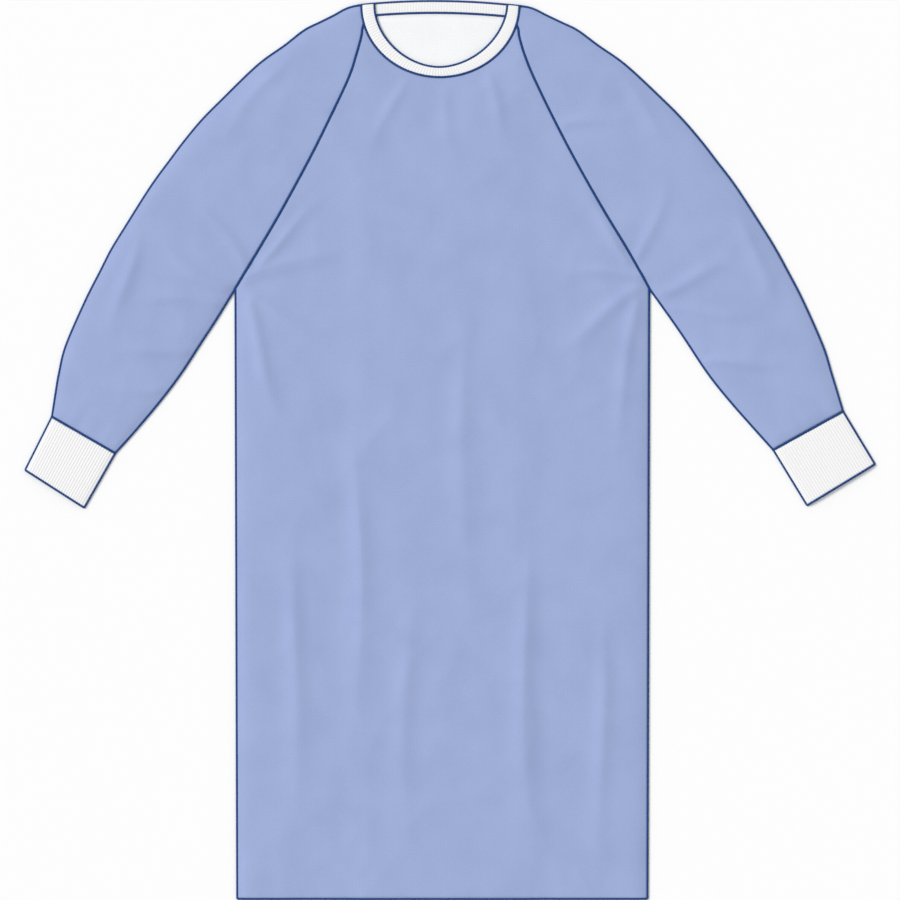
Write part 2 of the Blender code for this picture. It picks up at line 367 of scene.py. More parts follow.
    def raglan_edge(self, side: Side) -> Array:
        """Points of one raglan seam, from the neck seam down to the underarm."""
        return self.curve(side, self.raglan, before=self.sleeve_neck_edge(side)[-1:])

    def underarm_edge(self, side: Side) -> Array:
        """Points of one underarm seam, from the underarm to the cuff."""
        return self.curve(side, self.underarm, after=[self.cuff(side).seam_inner])

    def sleeve_top_edge(self, side: Side) -> Array:
        """Points of one sleeve's top seam, from the neck point to the cuff."""
        neck = self.sleeve_neck_edge(side)[:1]
        return self.curve(side, self.sleeve_top, before=neck, after=[self.cuff(side).seam_outer])

    def front_top(self) -> Array:
        """Draws the front's top edge: a raglan seam on each side of the scooped neck.

        Returns:
            The edge's points, one row each, from left to right.
        """
        left, right = (resample(self.raglan_edge(side), self.front_column) for side in Side)
        turns = self.neck.turns(self.spacing)
        first = self.raglan_start + self.clear_turn
        scoop = self.neck.points(turns[(turns > first) & (turns < math.pi - first)])
        return np.vstack([left[::-1], scoop, right])

    def back_top(self, panel: Side) -> Array:
        """Draws a back panel's top edge: its raglan seam, then the back neck to its lap edge.

        Args:
            panel: The side on which the panel meets its sleeve.

        Returns:
            The edge's points, one row each, from left to right.
        """
        raglan = resample(self.raglan_edge(panel), self.back_column)
        start = raglan[0, 0] - panel.outward * self.clear_gap
        lap = self.outer_lap_edge if panel is Side.LEFT else self.inner_lap_edge
        neck = self.back_neck_seam(np.linspace(start, lap, self.back_neck_columns))
        return np.vstack([raglan[::-1], neck])[:: -panel.outward]


PATTERN = Pattern()


def ruled(near: Array, far: Array, shares: Array, across: Array) -> Array:
    """Spots in the gown's frame at shares along two edges, and across from the near to the far one."""
    start = along(near, shares)
    return PATTERN.to_frame(start + (along(far, shares) - start) * across[:, None])


@dataclass(frozen=True)
class Crease:
    """One soft ridge of the cloth with a slight hollow on each side.

    start and end are across from the centre line and up from the hem. A rooted crease starts at its full
    height, as where a seam gathers it, and any other fades at both ends.
    """

    start: Corner
    end: Corner
    rise: float
    width: float
    sway: float = 0.004
    rooted: bool = False
    root_length: float = 0.016
    fade_in: float = 0.35
    fade_out: float = 0.6
    sway_step: float = 40.0
    sway_turn: float = 5.0
    start_sway: float = 0.4
    start_width: float = 0.7
    widening: float = 0.6
    crest_power: float = 1.6
    hollow_width: float = 2.3
    hollow_depth: float = 0.38

    def height(self, spots: Array) -> Array:
        """Works out how much the crease raises the cloth.

        Args:
            spots: Spots of the plan, one row each.

        Returns:
            The rise at each spot.
        """
        start, end = PATTERN.to_frame(np.array([self.start, self.end]))
        length = math.dist(start, end)
        forward = (end - start) / length
        offset = spots - start
        reach = offset @ forward
        share = reach / length
        phase = self.sway_step * (self.start[0] + self.end[1])
        sway = self.sway * np.sin(phase + self.sway_turn * share) * (self.start_sway + share)
        across = offset @ np.array([-forward[1], forward[0]]) - sway
        fade_in = reach / self.root_length + 0.5 if self.rooted else share / self.fade_in
        window = ease(fade_in) * ease((1 - share) / self.fade_out)
        width = self.width * (self.start_width + self.widening * np.clip(share, 0, 1))
        crest = np.exp(-(np.abs(across / width) ** self.crest_power))
        return self.rise * window * (crest - self.hollow_depth * bell(across, self.hollow_width * width))


# Start, end, rise, width, sway, and whether a seam roots it: first the body's creases, then each sleeve's.
CREASES = (
    Crease((-0.284, 0.876), (-0.120, 0.936), 0.0042, 0.0110, 0.006, True),
    Crease((-0.282, 0.860), (-0.150, 0.800), 0.0036, 0.0119, 0.008, True),
    Crease((-0.278, 0.850), (-0.214, 0.640), 0.0048, 0.0127, 0.007, True),
    Crease((-0.262, 0.900), (-0.150, 1.010), 0.0031, 0.0102, 0.005, True),
    Crease((0.286, 0.878), (0.150, 0.902), 0.0039, 0.0102, 0.006, True),
    Crease((0.283, 0.866), (0.140, 0.770), 0.0045, 0.0127, 0.008, True),
    Crease((0.280, 0.852), (0.232, 0.600), 0.0036, 0.0119, 0.006, True),
    Crease((0.266, 0.902), (0.176, 1.030), 0.0028, 0.0102, 0.005, True),
    Crease((-0.050, 1.168), (-0.110, 1.040), 0.0025, 0.0102, 0.005, True),
    Crease((0.004, 1.160), (0.020, 1.010), 0.0022, 0.0119, 0.006, True),
    Crease((0.062, 1.172), (0.100, 1.060), 0.0025, 0.0102, 0.004, True),
    Crease((-0.205, 0.560), (-0.222, 0.010), 0.0048, 0.0187, 0.010),
    Crease((-0.128, 0.700), (-0.118, 0.120), 0.0039, 0.0170, 0.012),
    Crease((-0.040, 0.480), (-0.052, -0.050), 0.0042, 0.0204, 0.012),
    Crease((0.040, 0.860), (0.022, 0.360), 0.0034, 0.0170, 0.010),
    Crease((0.120, 0.560), (0.132, -0.060), 0.0045, 0.0187, 0.012),
    Crease((0.222, 0.440), (0.236, -0.040), 0.0039, 0.0153, 0.009),
    Crease((-0.180, 0.420), (0.020, 0.330), 0.0022, 0.0119, 0.008),
    Crease((0.060, 0.300), (0.240, 0.220), 0.0021, 0.0119, 0.008),
    Crease((-0.100, 0.980), (0.080, 0.930), 0.0021, 0.0119, 0.008),
    Crease((-0.300, 0.862), (-0.420, 0.930), 0.0045, 0.0110, 0.007, True),
    Crease((-0.312, 0.842), (-0.450, 0.860), 0.0036, 0.0102, 0.006, True),
    Crease((-0.280, 0.896), (-0.350, 1.010), 0.0034, 0.0102, 0.006, True),
    Crease((-0.360, 0.770), (-0.500, 0.800), 0.0039, 0.0110, 0.006, True),
    Crease((-0.395, 0.722), (-0.500, 0.724), 0.0031, 0.0093, 0.005, True),
    Crease((-0.160, 1.120), (-0.260, 1.150), 0.0028, 0.0110, 0.006, True),
    Crease((-0.430, 0.960), (-0.470, 0.770), 0.0034, 0.0119, 0.008),
    Crease((-0.210, 1.200), (-0.330, 1.060), 0.0031, 0.0136, 0.008),
    Crease((0.304, 0.858), (0.432, 0.910), 0.0042, 0.0110, 0.006, True),
    Crease((0.318, 0.836), (0.470, 0.832), 0.0036, 0.0102, 0.007, True),
    Crease((0.276, 0.904), (0.330, 1.040), 0.0031, 0.0102, 0.005, True),
    Crease((0.372, 0.760), (0.510, 0.764), 0.0039, 0.0102, 0.006, True),
    Crease((0.168, 1.096), (0.280, 1.120), 0.0028, 0.0110, 0.006, True),
    Crease((0.420, 0.990), (0.474, 0.800), 0.0034, 0.0119, 0.008),
    Crease((0.230, 1.190), (0.352, 1.040), 0.0031, 0.0136, 0.008),
)


@dataclass(frozen=True)
class SeamPath:
    """The line of one seam in plan, in the gown's frame."""

    name: str
    layer: Layer
    line: Array

    def nearest(self, spots: Array, reach: float, batch: int = 4000) -> tuple[Array, Array]:
        """Finds how far spots lie from the seam.

        Args:
            spots: The spots, one row each.
            reach: The distance past which a spot doesn't matter.
            batch: How many spots are measured at once.

        Returns:
            Each spot's distance, infinite past the reach of the seam's box, and its place along the seam.
        """
        distance = np.full(len(spots), np.inf)
        place = np.zeros(len(spots))
        low = self.line.min(0) - reach
        high = self.line.max(0) + reach
        near = np.flatnonzero(((spots > low) & (spots < high)).all(1))
        runs = np.diff(self.line, axis=0)
        lengths = np.linalg.norm(runs, axis=1)
        before = np.concatenate([[0.0], np.cumsum(lengths)[:-1]])
        for rows in np.array_split(near, max(1, len(near) // batch)):
            offset = spots[rows, None, :] - self.line[None, :-1]
            share = np.clip((offset * runs).sum(2) / lengths**2, 0.0, 1.0)
            gaps = np.linalg.norm(offset - share[..., None] * runs, axis=2)
            best = gaps.argmin(1)
            picked = np.arange(len(rows))
            distance[rows] = gaps[picked, best]
            place[rows] = before[best] + share[picked, best] * lengths[best]
        return distance, place


def gown_seams(band_points: int = 50) -> list[SeamPath]:
    """Lists every seam and sewn edge of the gown.

    Args:
        band_points: How many points the edges of the back neckband are drawn with.

    Returns:
        The seams, in the order in which they are sewn.
    """
    seams = []

    def sew(name: str, layer: Layer, plan: Sequence[Corner] | Array) -> None:
        """Adds a seam along points measured from the hem."""
        line = resample(np.asarray(plan, float), PATTERN.spacing)
        seams.append(SeamPath(name, layer, PATTERN.to_frame(line)))

    turns = PATTERN.neck.turns(PATTERN.spacing)
    sew("neck_front", Layer.NECK, PATTERN.neck.points(turns))
    sew("neck_front_edge", Layer.FRONT_BAND, PATTERN.opening.points(turns))
    inner_neck, inner_free = PATTERN.back_band(Side.RIGHT, band_points)
    sew("neck_back_inner", Layer.INSIDE, inner_neck)
    sew("neck_back_inner_edge", Layer.LAP_BAND, inner_free)
    outer_neck, outer_free = PATTERN.back_band(Side.LEFT, band_points)
    sew("neck_back_outer", Layer.UNDERSIDE, outer_neck)
    sew("neck_back_outer_edge", Layer.BACK_BAND, outer_free)
    sew("lap_outer", Layer.BACK_EDGE, PATTERN.lap_edge(PATTERN.outer_lap_edge))
    sew("lap_inner", Layer.LAP_EDGE, PATTERN.lap_edge(PATTERN.inner_lap_edge))
    half = PATTERN.side_half_width
    sew("hem_front", Layer.HEM, PATTERN.hem_edge(-half, half))
    sew("hem_back_outer", Layer.BACK_EDGE, PATTERN.hem_edge(-half, PATTERN.outer_lap_edge))
    sew("hem_back_inner", Layer.LAP_HEM, PATTERN.hem_edge(PATTERN.inner_lap_edge, half))
    for side in Side:
        name = side.value
        plan = PATTERN.cuff(side)
        raglan = PATTERN.raglan_edge(side)
        band_end = PATTERN.opening.left if side is Side.LEFT else PATTERN.opening.right
        sew(f"raglan_{name}_front", Layer.RAGLAN, raglan)
        sew(f"raglan_{name}_back", Layer.UNDERSIDE, raglan)
        sew(f"cuff_{name}_front", Layer.CUFF, [plan.seam_outer, plan.seam_inner])
        sew(f"cuff_{name}_back", Layer.UNDERSIDE, [plan.seam_outer, plan.seam_inner])
        sew(f"cuff_{name}_end_front", Layer.CUFF_FACE, [plan.end_outer, plan.end_inner])
        sew(f"cuff_{name}_end_back", Layer.CUFF_BACK, [plan.end_outer, plan.end_inner])
        sew(f"sleeve_top_{name}", Layer.CLOSED, [band_end, *PATTERN.sleeve_top_edge(side), plan.end_outer])
        sew(f"underarm_{name}", Layer.CLOSED, [*PATTERN.underarm_edge(side), plan.end_inner])
        sew(f"side_{name}", Layer.CLOSED, PATTERN.side_edge(side))
    return seams


def noise_at(spots: Array, scale: tuple[float, float], seed: float) -> Array:
    """Smooth noise from about -1 to 1 at each spot; scale gives its lumps per metre across and up."""
    return np.array([noise.noise(Vector((x * scale[0], y * scale[1], seed))) for x, y in spots])


@dataclass(frozen=True)
class Crumple:
    """Noise whose crests are creased and whose hollows are soft, as crumpled cloth has."""

    lumps: float
    seed: float
    drift: float = 0.05
    drift_lumps: float = 5.0
    drift_seeds: tuple[float, float] = (3.1, 8.7)
    stretch: float = 0.8
    crest: float = 0.8
    slope: float = 3.2
    softness: float = 0.0015

    def height(self, spots: Array) -> Array:
        """Works out the crumple.

        Args:
            spots: Spots of the plan, one row each.

        Returns:
            A height at each spot, from about -1 to 1.
        """
        scale = (self.drift_lumps, self.drift_lumps)
        drift = np.stack([noise_at(spots, scale, self.seed + part) for part in self.drift_seeds], axis=1)
        moved = spots + self.drift * drift
        ridge = np.abs(noise_at(moved, (self.lumps, self.lumps * self.stretch), self.seed))
        return self.crest - self.slope * np.sqrt(ridge**2 + self.softness)


@dataclass
class Relief:
    """The lie of the cloth: how high each layer is at every spot of the plan."""

    seams: list[SeamPath]
    lower_top: float = 0.0010
    layer: float = 0.0015
    lap_margin: float = 0.0006
    back_step: float = 0.009
    front_step: float = 0.046
    loft: float = 0.0030
    hem_hold: float = 0.6
    edge_drop: float = 0.0009
    edge_reach: float = 0.012
    drop_reach: float = 0.0048
    swell_rise: float = 0.0012
    swell_lumps: tuple[float, float] = (6.5, 4.5)
    ripple_rise: float = 0.0003
    ripple_lumps: tuple[float, float] = (24.0, 19.0)
    crumple_rise: float = 0.0007
    coarse: Crumple = Crumple(lumps=9.0, seed=31.0)
    fine: Crumple = Crumple(lumps=17.0, seed=47.0)
    fine_share: float = 0.6
    edge_creases: float = 0.2
    lift_softness: float = 0.0005
    seam_sight: float = 0.08
    pucker_rise: float = 0.0005
    pucker_reach: float = 0.010
    pucker_length: float = 0.011
    pucker_stretch: float = 0.16
    pucker_fade: float = 1.4
    pucker_step: float = 7.3
    flat_rim: float = 0.006
    gather_rise: float = 0.0012
    gather_reach: float = 0.030
    gather_length: float = 0.016
    seam_dip: float = 0.0005
    dip_reach: float = 0.003
    seam_reach: float = 0.005
    seam_share: float = 0.35
    seam_lift: float = 0.0001
    pinch: float = 0.0017
    closed_level: float = 0.0014
    edge_level: float = 0.00084
    cuff_top: float = 0.0036
    cuff_crown: float = 0.0005
    cuff_round: float = 0.0030
    cuff_end_level: float = 0.0018
    cuff_hold: float = 0.010
    cuff_overlap: float = 0.0003
    cuff_puckers: float = 0.3
    band_thickness: float = 0.0022
    band_end_lift: float = 0.0006
    band_end_reach: float = 0.010
    band_cover: float = 0.0003
    back_band_thickness: float = 0.0011
    neck_rise: float = 0.0007
    neck_reach: float = 0.020
    neck_rim: float = 0.010
    neck_puckers: float = 0.5

    def lower(self, spots: Array) -> Array:
        """Top of the layer that lies on the floor."""
        return np.full(len(spots), self.lower_top)

    def right_of_lap(self, spots: Array, step: float) -> Array:
        """How far cloth over the lap has come down past the outer panel's edge, from 0 to 1."""
        return ease((spots[:, 0] - PATTERN.outer_lap_edge - self.lap_margin) / step)

    def inner_back_top(self, spots: Array) -> Array:
        """Top of the inner back panel, a layer up where it laps over the outer one."""
        return self.lower_top + self.layer * (1 - self.right_of_lap(spots, self.back_step))

    def upper_base(self, spots: Array) -> Array:
        """Finds the top of the upper layer where it lies flat, a step up over the lapped back.

        Args:
            spots: Spots of the plan, one row each.

        Returns:
            The height of each spot.
        """
        left_of_lap = ease((PATTERN.inner_lap_edge - self.lap_margin - spots[:, 0]) / self.front_step)
        lapped = (1 - self.right_of_lap(spots, self.front_step)) * (1 - left_of_lap)
        return self.lower_top + self.layer * (1 + lapped)

    def cuff_surface(self, edge_gap: Array) -> Array:
        """Top of a cuff at distances from its sewn side, where its two faces are pinched together."""
        rise = 1 - np.exp(-edge_gap / self.cuff_round)
        return self.closed_level + (self.cuff_top - self.closed_level) * rise

    def cuff_face(self, across: Array, half_width: Array | float) -> Array:
        """Top of a cuff between its ribs, from -1 to 1 across it, with its slight crown."""
        gap = (1 - np.abs(across)) * half_width
        return self.cuff_surface(gap) + self.cuff_crown * (1 - across**2)

    def loose_lift(self, spots: Array, creases: Array, hem_gap: Array) -> Array:
        """Works out how high the upper layer stands where no side seam holds it.

        Args:
            spots: Spots of the plan, one row each.
            creases: How much the creases raise each spot.
            hem_gap: How far each spot is from the hem.

        Returns:
            The height of each spot above the layer's flat lie.
        """
        loft = self.loft * (1 - self.hem_hold * np.exp(-hem_gap / self.edge_reach))
        swell = self.swell_rise * noise_at(spots, self.swell_lumps, seed=2.0)
        ripple = self.ripple_rise * noise_at(spots, self.ripple_lumps, seed=5.0)
        crumple = self.coarse.height(spots) + self.fine_share * self.fine.height(spots)
        return loft + swell + ripple + self.crumple_rise * crumple + creases

    def upper_top(self, spots: Array) -> Array:
        """Works out the top of the front and of the sleeves' front halves.

        Args:
            spots: Spots of the plan, one row each.

        Returns:
            The height of each spot, with the creases and the seams' puckers.
        """
        gaps = {layer: np.full(len(spots), np.inf) for layer in Layer}
        pucker = np.zeros(len(spots))
        dip = np.zeros(len(spots))
        for index, seam in enumerate(seam for seam in self.seams if seam.layer.shapes_face):
            gap, place = seam.nearest(spots, self.seam_sight)
            gaps[seam.layer] = np.minimum(gaps[seam.layer], gap)
            if seam.layer.stitch is Stitch.FLATLOCK:
                dip = np.maximum(dip, self.seam_dip * bell(gap, self.dip_reach))
            rise, reach, length = self.pucker_rise, self.pucker_reach, self.pucker_length
            if seam.layer is Layer.CUFF:
                rise, reach, length = self.gather_rise, self.gather_reach, self.gather_length
            near = np.flatnonzero(gap < self.seam_sight)
            waves = np.stack([place[near], gap[near]], axis=1)
            lumps = noise_at(waves, (1 / length, self.pucker_stretch / length), self.pucker_step * index)
            pucker[near] += rise * lumps * np.exp(-((gap[near] / reach) ** self.pucker_fade))
        free_gap = np.clip(gaps[Layer.CLOSED] - self.pinch, 0.0, 1.0)
        inside = 1 - np.exp(-free_gap / self.edge_reach)
        creases = sum(crease.height(spots) for crease in CREASES)
        lift = self.loose_lift(spots, creases, gaps[Layer.HEM]) * inside
        lift = lift + self.edge_creases * creases * (1 - inside)
        lift = np.logaddexp(0.0, lift / self.lift_softness) * self.lift_softness
        base = self.upper_base(spots)
        sewn_pucker = pucker * ease(free_gap / self.flat_rim)
        free = base + lift + sewn_pucker - self.edge_drop * np.exp(-free_gap / self.drop_reach)
        on_cuff = self.cuff_surface(gaps[Layer.CLOSED]) + self.cuff_overlap
        at_cuff = on_cuff + self.cuff_puckers * sewn_pucker
        at_neck = base + self.neck_rise + self.neck_puckers * pucker
        cuff_hold = bell(gaps[Layer.CUFF], self.cuff_hold)
        neck_hold = bell(gaps[Layer.NECK], self.neck_reach) * ease(free_gap / self.neck_rim)
        return free + (at_cuff - free) * cuff_hold + (at_neck - free) * neck_hold - dip

    def top_across(self, line: Array) -> Array:
        """Finds a level for a flat seam that clears the cloth where it rises beside the seam.

        Args:
            line: Points of the seam in plan.

        Returns:
            The level at each point.
        """
        run = np.gradient(line, axis=0)
        normal = np.stack([-run[:, 1], run[:, 0]], axis=1) / np.linalg.norm(run, axis=1)[:, None]
        beside = self.seam_reach * normal
        middle = self.upper_top(line)
        sides = np.maximum(self.upper_top(line + beside), self.upper_top(line - beside))
        return middle + self.seam_lift + self.seam_share * np.clip(sides - middle, 0.0, None)

    def seam_level(self, layer: Layer, line: Array) -> Array:
        """Finds the height at which a layer's sewn edge or seam lies.

        Args:
            layer: What the seam holds.
            line: Points of the seam in plan.

        Returns:
            The height of the middle of an edge, or of the surface under a flat seam, at each point.
        """
        base = self.upper_base(line)
        if layer in (Layer.RAGLAN, Layer.CUFF):
            return self.top_across(line)
        if layer is Layer.NECK:
            over_band = base - WALL + self.band_thickness / 2 + self.band_cover
            return np.maximum(self.top_across(line), over_band)
        if layer is Layer.HEM:
            return self.upper_top(line) - WALL / 2
        if layer is Layer.CLOSED:
            beside_band = np.maximum(PATTERN.neck.left[0] - line[:, 0], line[:, 0] - PATTERN.neck.right[0])
            lift = self.band_end_lift * (1 - ease(beside_band / self.band_end_reach))
            return self.closed_level + base - self.lower_top - self.layer + lift
        if layer is Layer.CUFF_FACE:
            face = self.cuff_face(np.linspace(-1.0, 1.0, len(line)), math.dist(line[0], line[-1]) / 2)
            return np.maximum(face - WALL / 2, self.cuff_end_level)
        if layer is Layer.FRONT_BAND:
            return base - WALL + self.band_thickness / 2
        levels = {
            Layer.UNDERSIDE: np.full(len(line), WALL / 2),
            Layer.INSIDE: self.inner_back_top(line),
            Layer.LAP_EDGE: self.inner_back_top(line) - WALL / 2,
            Layer.LAP_HEM: np.maximum(self.inner_back_top(line) - WALL / 2, self.edge_level),
            Layer.LAP_BAND: self.inner_back_top(line) - WALL + self.back_band_thickness / 2,
        }
        return levels.get(layer, np.full(len(line), self.edge_level))


def linear(hex_colour: str) -> tuple[float, float, float, float]:
    """An sRGB hex colour as linear red, green, blue and alpha."""
    values = np.array([int(hex_colour[i : i + 2], 16) / 255 for i in (1, 3, 5)])
    return (*np.where(values <= 0.04045, values / 12.92, ((values + 0.055) / 1.055) ** 2.4), 1.0)


def add_node(
    material: bpy.types.Material,
    kind: str,
    settings: dict[str | int, object] | None = None,
    links: dict[str | int, bpy.types.Node | bpy.types.NodeSocket] | None = None,
) -> bpy.types.Node:
    """Adds a shader node to a material.

    Args:
        material: The material that gets the node.
        kind: The node's type, without its common first word.
        settings: Attributes of the node by name, and values of its input sockets by name or place.
        links: What feeds an input socket, by its name or place: an output socket, or a node's first one.

    Returns:
        The new node.
    """
    node = material.node_tree.nodes.new("ShaderNode" + kind)
    for name, value in (settings or {}).items():
        if isinstance(name, str) and hasattr(node, name):
            setattr(node, name, value)
        else:
            node.inputs[name].default_value = value
    for name, source in (links or {}).items():
        output = source.outputs[0] if isinstance(source, bpy.types.Node) else source
        material.node_tree.links.new(output, node.inputs[name])
    return node


def blank_material(name: str) -> bpy.types.Material:
    """Makes a material with no nodes.

    Args:
        name: The material's name.

    Returns:
        The new material.
    """
    material = bpy.data.materials.new(name)
    material.use_nodes = True
    material.node_tree.nodes.clear()
    return material


@dataclass(frozen=True)
class NonwovenFinish:
    """Spunbond nonwoven: a matt felt of fine fibres with rows of small pressed bond points.

    The fibres give fine streaks in three directions and a faint sheen, and the bond points an even grain.
    The points' real pitch of about 1 mm is too fine to show, so they are drawn at 3 mm, and the fibres,
    which are really 0.02 mm thick, as strands of 0.3 mm. The felt is a little darker between its raised
    strands and in large random patches.
    """

    name: str
    colour: str
    darker_colour: str
    bond_pitch: float = 0.0030
    bond_turn: float = math.radians(45)
    bond_core: float = 0.14
    bond_rim: float = 0.40
    strand_width: float = 0.0003
    strand_length: float = 0.0040
    strand_turns: tuple[float, ...] = (0.25, 1.35, 2.40)
    strand_rise: float = 0.9
    cloud_size: float = 0.060
    relief: float = 0.0003
    roughness: float = 0.78
    sheen: float = 0.18

    def material(self) -> bpy.types.Material:
        """Builds the material.

        Returns:
            The new material.
        """
        made = blank_material(self.name)
        place = add_node(made, "TexCoord").outputs["Object"]
        turned = add_node(made, "Mapping", {"Rotation": (0, 0, self.bond_turn)}, {"Vector": place})
        lattice = {"voronoi_dimensions": "2D", "Scale": 1 / self.bond_pitch, "Randomness": 0.0}
        bonds = add_node(made, "TexVoronoi", lattice, {"Vector": turned})
        slope = {"interpolation_type": "SMOOTHSTEP", "From Min": self.bond_core, "From Max": self.bond_rim}
        pressed = add_node(made, "MapRange", slope, {"Value": bonds})
        strands = self.add_strands(made, place)
        patches = {"Scale": 1 / self.cloud_size, "Detail": 3.0}
        clouds = add_node(made, "TexNoise", patches, {"Vector": place})
        mottle = add_node(made, "Math", {"operation": "ADD"}, {0: strands, 1: clouds})
        shade = add_node(made, "MapRange", {"From Min": 0.75, "From Max": 1.25}, {"Value": mottle})
        # The second colour darkens the felt between its raised strands and in large random patches.
        tones = {"data_type": "RGBA", 6: linear(self.darker_colour), 7: linear(self.colour)}
        colour = add_node(made, "Mix", tones, {"Factor": shade})
        blend = {"operation": "MULTIPLY_ADD", 1: self.strand_rise}
        grain = add_node(made, "Math", blend, {0: strands, 2: pressed})
        bump = add_node(made, "Bump", {"Strength": 0.35, "Distance": self.relief}, {"Height": grain})
        felt = {
            "Roughness": self.roughness,
            "Sheen Weight": self.sheen,
            "Sheen Roughness": 0.45,
            "Specular IOR Level": 0.35,
        }
        shader = add_node(made, "BsdfPrincipled", felt, {"Base Color": colour.outputs[2], "Normal": bump})
        add_node(made, "OutputMaterial", {}, {"Surface": shader})
        return made

    def add_strands(self, made: bpy.types.Material, place: bpy.types.NodeSocket) -> bpy.types.Node:
        """Adds streaks that lie across each other, from 0 between the strands to 1 on them.

        Args:
            made: The material that gets the nodes.
            place: The coordinates that the strands follow.

        Returns:
            The node whose first output is the height of the uppermost strand.
        """
        top = None
        size = (self.strand_length, self.strand_width, 1.0)
        for turn in self.strand_turns:
            lie = {"vector_type": "TEXTURE", "Rotation": (0, 0, turn), "Scale": size}
            laid = add_node(made, "Mapping", lie, {"Vector": place})
            streaks = {"noise_dimensions": "2D", "Scale": 0.5, "Detail": 2.0, "Distortion": 0.4}
            strand = add_node(made, "TexNoise", streaks, {"Vector": laid})
            if top is not None:
                strand = add_node(made, "Math", {"operation": "MAXIMUM"}, {0: top, 1: strand})
            top = strand
        return top


@dataclass(frozen=True)
class RibKnitFinish:
    """White one-by-one rib knit of cotton and polyester yarn.

    The ribs themselves are modelled. The loops give each rib a row of small V shapes, and the yarn a soft,
    matt surface. The yarn's fuzz is really under 0.1 mm fine and is drawn at 1.1 mm, so that it shows. U
    counts ribs, and V is the share of the way from the seam to the free edge.
    """

    name: str
    colour: str
    shade_colour: str
    loops: float
    loop_rise: float = 0.35
    fuzz_size: float = 0.0011
    relief: float = 0.0003
    roughness: float = 0.88

    def material(self) -> bpy.types.Material:
        """Builds the material.

        Returns:
            The new material.
        """
        made = blank_material(self.name)
        coordinates = add_node(made, "TexCoord").outputs
        parts = add_node(made, "SeparateXYZ", {}, {"Vector": coordinates["UV"]}).outputs
        slant = add_node(made, "Math", {"operation": "PINGPONG", 1: 0.5}, {0: parts[0]})
        rows = {"operation": "MULTIPLY_ADD", 1: self.loops}
        course = add_node(made, "Math", rows, {0: parts[1], 2: slant})
        turn = add_node(made, "Math", {"operation": "MULTIPLY", 1: 2 * math.pi}, {0: course})
        loop = add_node(made, "Math", {"operation": "SINE"}, {0: turn})
        hairs = {"Scale": 1 / self.fuzz_size, "Detail": 3.0}
        fuzz = add_node(made, "TexNoise", hairs, {"Vector": coordinates["Object"]})
        blend = {"operation": "MULTIPLY_ADD", 1: self.loop_rise}
        height = add_node(made, "Math", blend, {0: loop, 2: fuzz})
        bump = add_node(made, "Bump", {"Strength": 0.5, "Distance": self.relief}, {"Height": height})
        tones = {"data_type": "RGBA", 6: linear(self.shade_colour), 7: linear(self.colour)}
        white = add_node(made, "Mix", tones, {"Factor": fuzz})
        yarn = {"Roughness": self.roughness, "Sheen Weight": 0.15, "Specular IOR Level": 0.3}
        shader = add_node(made, "BsdfPrincipled", yarn, {"Base Color": white.outputs[2], "Normal": bump})
        add_node(made, "OutputMaterial", {}, {"Surface": shader})
        return made


@dataclass(frozen=True)
class ThreadFinish:
    """Textured polyester sewing thread: dark, with a soft gloss along each turn.

    Its fibres, really 0.02 mm thick, are drawn 0.7 mm apart, as wide as half a turn of thread.
    """

    name: str
    colour: str
    light_colour: str
    fibre_pitch: float = 0.0007
    relief: float = 0.0001
    roughness: float = 0.5

    def material(self) -> bpy.types.Material:
        """Builds the material.

        Returns:
            The new material.
        """
        made = blank_material(self.name)
        place = add_node(made, "TexCoord").outputs["Object"]
        twist = {"Scale": 1 / self.fibre_pitch, "Detail": 2.0}
        fibres = add_node(made, "TexNoise", twist, {"Vector": place})
        tones = {"data_type": "RGBA", 6: linear(self.colour), 7: linear(self.light_colour)}
        colour = add_node(made, "Mix", tones, {"Factor": fibres})
        bump = add_node(made, "Bump", {"Strength": 0.4, "Distance": self.relief}, {"Height": fibres})
        gloss = {"Roughness": self.roughness, "Specular IOR Level": 0.3}
        shader = add_node(made, "BsdfPrincipled", gloss, {"Base Color": colour.outputs[2], "Normal": bump})
        add_node(made, "OutputMaterial", {}, {"Surface": shader})
        return made


@dataclass(frozen=True)
class FloorFinish:
    """Matt painted board: plain and pale, with a trace of the roller's texture, 4 mm from lump to lump."""

    name: str = "matt painted board"
    colour: str = "#F8F8F8"
    roller_pitch: float = 0.004
    relief: float = 0.0002
    roughness: float = 0.9

    def material(self) -> bpy.types.Material:
        """Builds the material.

        Returns:
            The new material.
        """
        made = blank_material(self.name)
        place = add_node(made, "TexCoord").outputs["Object"]
        lumps = {"Scale": 1 / self.roller_pitch, "Detail": 2.0}
        roller = add_node(made, "TexNoise", lumps, {"Vector": place})
        bump = add_node(made, "Bump", {"Strength": 0.05, "Distance": self.relief}, {"Height": roller})
        paint = {"Base Color": linear(self.colour), "Roughness": self.roughness, "Specular IOR Level": 0.2}
        shader = add_node(made, "BsdfPrincipled", paint, {"Normal": bump})
        add_node(made, "OutputMaterial", {}, {"Surface": shader})
        return made


class Wardrobe:
    """The materials of the gown, made once and shared by its pieces."""

    def __init__(self) -> None:
        """Makes every finish of the gown."""
        white, shade = "#F6F6F5", "#E9EAEA"
        self.face = NonwovenFinish("ceil blue spunbond", "#9BAAD3", "#94A4CE").material()
        self.inside = NonwovenFinish("white spunbond", "#F4F5F6", "#EBEDEF").material()
        self.cuff_knit = RibKnitFinish("white rib knit cuff", white, shade, loops=60.0).material()
        self.band_knit = RibKnitFinish("white rib knit band", white, shade, loops=10.0).material()
        self.thread = ThreadFinish("dark blue polyester thread", "#043878", "#0B4A90").material()


